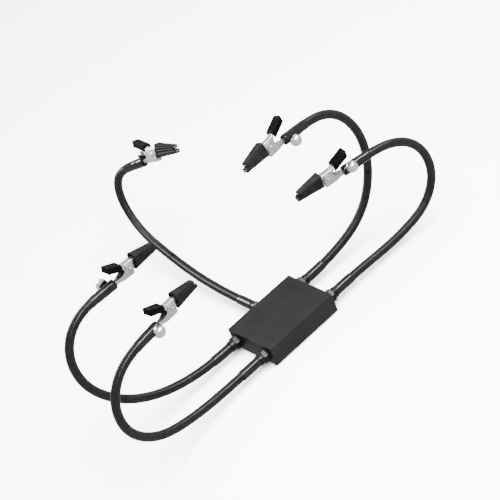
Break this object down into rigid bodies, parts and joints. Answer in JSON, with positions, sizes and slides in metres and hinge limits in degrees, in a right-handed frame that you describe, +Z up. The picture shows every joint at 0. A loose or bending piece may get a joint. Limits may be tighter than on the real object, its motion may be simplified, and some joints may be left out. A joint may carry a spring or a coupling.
{
  "type": "helping hands clamp station",
  "caption": "Helping hands station: a heavy steel block with bendable gooseneck arms, each ending in a socket with a thumb screw and a sprung clip with rubber boots.",
  "frame": {"origin": "middle of the rubber pad's lower face, which rests on the bench", "axes": "+X along the block's long side, +Y towards the single rear arm, +Z up"},
  "size_m": [0.3986, 0.2987, 0.197],
  "materials": {
    "paint": "satin black paint on steel",
    "pad": "matt black sheet rubber",
    "oxide": "black oxide, light gloss",
    "neck": "glossy black coated wound wire",
    "chrome": "polished plating",
    "nickel": "nickel plated pressed sheet",
    "spring_steel": "dark oiled spring wire",
    "rubber": "ribbed black rubber",
    "vinyl": "dipped black vinyl"
  },
  "bodies": {
    "base": {"base_block": "paint", "base_pad": "pad", "root_fitting_left_back": "oxide", "root_fitting_left_front": "oxide", "root_fitting_right_back": "oxide", "root_fitting_right_front": "oxide", "root_fitting_rear": "oxide"},
    "arm_left_back": {"gooseneck_left_back": "neck"},
    "end_left_back": {"socket_left_back": "oxide"},
    "screw_left_back": {"thumb_screw_left_back": "chrome"},
    "clip_left_back": {"jaw_lower_left_back": "nickel", "rivet_left_back": "nickel", "spring_left_back": "spring_steel", "boot_lower_left_back": "rubber"},
    "jaw_left_back": {"jaw_upper_left_back": "nickel", "boot_upper_left_back": "rubber", "lever_grip_left_back": "vinyl"},
    "arm_left_front": {"gooseneck_left_front": "neck"},
    "end_left_front": {"socket_left_front": "oxide"},
    "screw_left_front": {"thumb_screw_left_front": "chrome"},
    "clip_left_front": {"jaw_lower_left_front": "nickel", "rivet_left_front": "nickel", "spring_left_front": "spring_steel", "boot_lower_left_front": "rubber"},
    "jaw_left_front": {"jaw_upper_left_front": "nickel", "boot_upper_left_front": "rubber", "lever_grip_left_front": "vinyl"},
    "arm_right_back": {"gooseneck_right_back": "neck"},
    "end_right_back": {"socket_right_back": "oxide"},
    "screw_right_back": {"thumb_screw_right_back": "chrome"},
    "clip_right_back": {"jaw_lower_right_back": "nickel", "rivet_right_back": "nickel", "spring_right_back": "spring_steel", "boot_lower_right_back": "rubber"},
    "jaw_right_back": {"jaw_upper_right_back": "nickel", "boot_upper_right_back": "rubber", "lever_grip_right_back": "vinyl"},
    "arm_right_front": {"gooseneck_right_front": "neck"},
    "end_right_front": {"socket_right_front": "oxide"},
    "screw_right_front": {"thumb_screw_right_front": "chrome"},
    "clip_right_front": {"jaw_lower_right_front": "nickel", "rivet_right_front": "nickel", "spring_right_front": "spring_steel", "boot_lower_right_front": "rubber"},
    "jaw_right_front": {"jaw_upper_right_front": "nickel", "boot_upper_right_front": "rubber", "lever_grip_right_front": "vinyl"},
    "arm_rear": {"gooseneck_rear": "neck"},
    "end_rear": {"socket_rear": "oxide"},
    "screw_rear": {"thumb_screw_rear": "chrome"},
    "clip_rear": {"jaw_lower_rear": "nickel", "rivet_rear": "nickel", "spring_rear": "spring_steel", "boot_lower_rear": "rubber"},
    "jaw_rear": {"jaw_upper_rear": "nickel", "boot_upper_rear": "rubber", "lever_grip_rear": "vinyl"}
  },
  "joints": [
    {"name": "swing_left_back", "type": "hinge", "parent": "base", "child": "arm_left_back", "pos_m": [-0.052, 0.02, 0.0115], "axis": [0, 0, -1], "range_deg": [-8, 25], "deforming": ["gooseneck_left_back"]},
    {"name": "bend_left_back", "type": "hinge", "parent": "arm_left_back", "child": "end_left_back", "pos_m": [-0.19299, 0.01508, 0.11747], "axis": [0, -1, 0], "range_deg": [-20, 25], "deforming": ["gooseneck_left_back"]},
    {"name": "swivel_left_back", "type": "hinge", "parent": "end_left_back", "child": "clip_left_back", "pos_m": [-0.12455, 0.01886, 0.15193], "axis": [0.9871, 0.1219, -0.1037], "continuous": true},
    {"name": "screw_turn_left_back", "type": "hinge", "parent": "end_left_back", "child": "screw_left_back", "pos_m": [-0.12998, 0.01819, 0.1525], "axis": [-0.1028, 0.9796, 0.1727], "continuous": true},
    {"name": "jaw_left_back_open", "type": "hinge", "parent": "clip_left_back", "child": "jaw_left_back", "pos_m": [-0.1049, 0.02057, 0.15496], "axis": [0.107, -0.9846, -0.1384], "range_deg": [0, 15], "stiffness_Nm_per_rad": 0.2, "springref_deg": -34.38, "deforming": ["spring_left_back"]},
    {"name": "swing_left_front", "type": "hinge", "parent": "base", "child": "arm_left_front", "pos_m": [-0.052, -0.02, 0.0115], "axis": [0, 0, 1], "range_deg": [-8, 25], "deforming": ["gooseneck_left_front"]},
    {"name": "bend_left_front", "type": "hinge", "parent": "arm_left_front", "child": "end_left_front", "pos_m": [-0.20185, -0.04833, 0.09857], "axis": [0, -1, 0], "range_deg": [-20, 25], "deforming": ["gooseneck_left_front"]},
    {"name": "swivel_left_front", "type": "hinge", "parent": "end_left_front", "child": "clip_left_front", "pos_m": [-0.13275, -0.04353, 0.13624], "axis": [0.9875, 0.1564, -0.0172], "continuous": true},
    {"name": "screw_turn_left_front", "type": "hinge", "parent": "end_left_front", "child": "screw_left_front", "pos_m": [-0.13818, -0.04439, 0.13633], "axis": [0.1573, -0.9837, 0.0871], "continuous": true},
    {"name": "jaw_left_front_open", "type": "hinge", "parent": "clip_left_front", "child": "jaw_left_front", "pos_m": [-0.11342, -0.0407, 0.14039], "axis": [0.1554, -0.9865, -0.0523], "range_deg": [0, 15], "stiffness_Nm_per_rad": 0.2, "springref_deg": -34.38, "deforming": ["spring_left_front"]},
    {"name": "swing_right_back", "type": "hinge", "parent": "base", "child": "arm_right_back", "pos_m": [0.052, 0.02, 0.0115], "axis": [0, 0, 1], "range_deg": [-8, 25], "deforming": ["gooseneck_right_back"]},
    {"name": "bend_right_back", "type": "hinge", "parent": "arm_right_back", "child": "end_right_back", "pos_m": [0.14222, -0.00137, 0.13602], "axis": [0, 1, 0], "range_deg": [-20, 25], "deforming": ["gooseneck_right_back"]},
    {"name": "swivel_right_back", "type": "hinge", "parent": "end_right_back", "child": "clip_right_back", "pos_m": [0.06715, -0.01364, 0.17491], "axis": [-0.9829, -0.1219, 0.1381], "continuous": true},
    {"name": "screw_turn_right_back", "type": "hinge", "parent": "end_right_back", "child": "screw_right_back", "pos_m": [0.07256, -0.01297, 0.17415], "axis": [0.0834, -0.963, -0.2563], "continuous": true},
    {"name": "jaw_right_back_open", "type": "hinge", "parent": "clip_right_back", "child": "jaw_right_back", "pos_m": [0.04825, -0.0152, 0.18124], "axis": [-0.1489, 0.9672, -0.2059], "range_deg": [0, 15], "stiffness_Nm_per_rad": 0.2, "springref_deg": -34.38, "deforming": ["spring_right_back"]},
    {"name": "swing_right_front", "type": "hinge", "parent": "base", "child": "arm_right_front", "pos_m": [0.052, -0.02, 0.0115], "axis": [0, 0, -1], "range_deg": [-8, 25], "deforming": ["gooseneck_right_front"]},
    {"name": "bend_right_front", "type": "hinge", "parent": "arm_right_front", "child": "end_right_front", "pos_m": [0.17841, -0.03653, 0.09006], "axis": [0, 1, 0], "range_deg": [-20, 12], "deforming": ["gooseneck_right_front"]},
    {"name": "swivel_right_front", "type": "hinge", "parent": "end_right_front", "child": "clip_right_front", "pos_m": [0.09938, -0.03323, 0.12092], "axis": [-0.9897, 0.1392, 0.0346], "continuous": true},
    {"name": "screw_turn_right_front", "type": "hinge", "parent": "end_right_front", "child": "screw_right_front", "pos_m": [0.10482, -0.03399, 0.12073], "axis": [-0.1035, -0.86, 0.4997], "continuous": true},
    {"name": "jaw_right_front_open", "type": "hinge", "parent": "clip_right_front", "child": "jaw_right_front", "pos_m": [0.08043, -0.03112, 0.12681], "axis": [0.1421, 0.9843, 0.1045], "range_deg": [0, 11], "stiffness_Nm_per_rad": 0.2, "springref_deg": -34.38, "deforming": ["spring_right_front"]},
    {"name": "swing_rear", "type": "hinge", "parent": "base", "child": "arm_rear", "pos_m": [0, 0.042, 0.0115], "axis": [0, 0, 1], "range_deg": [-25, 25], "deforming": ["gooseneck_rear"]},
    {"name": "bend_rear", "type": "hinge", "parent": "arm_rear", "child": "end_rear", "pos_m": [0.0138, 0.22999, 0.04978], "axis": [-1, 0, 0], "range_deg": [-20, 25], "deforming": ["gooseneck_rear"]},
    {"name": "swivel_rear", "type": "hinge", "parent": "end_rear", "child": "clip_rear", "pos_m": [0.03433, 0.19186, 0.11097], "axis": [0.2756, -0.8913, 0.3601], "continuous": true},
    {"name": "screw_turn_rear", "type": "hinge", "parent": "end_rear", "child": "screw_rear", "pos_m": [0.03282, 0.19676, 0.10899], "axis": [0.8953, 0.3744, 0.2415], "continuous": true},
    {"name": "jaw_rear_open", "type": "hinge", "parent": "clip_rear", "child": "jaw_rear", "pos_m": [0.04097, 0.17581, 0.12088], "axis": [-0.8935, -0.0994, 0.438], "range_deg": [0, 11], "stiffness_Nm_per_rad": 0.2, "springref_deg": -34.38, "deforming": ["spring_rear"]}
  ]
}
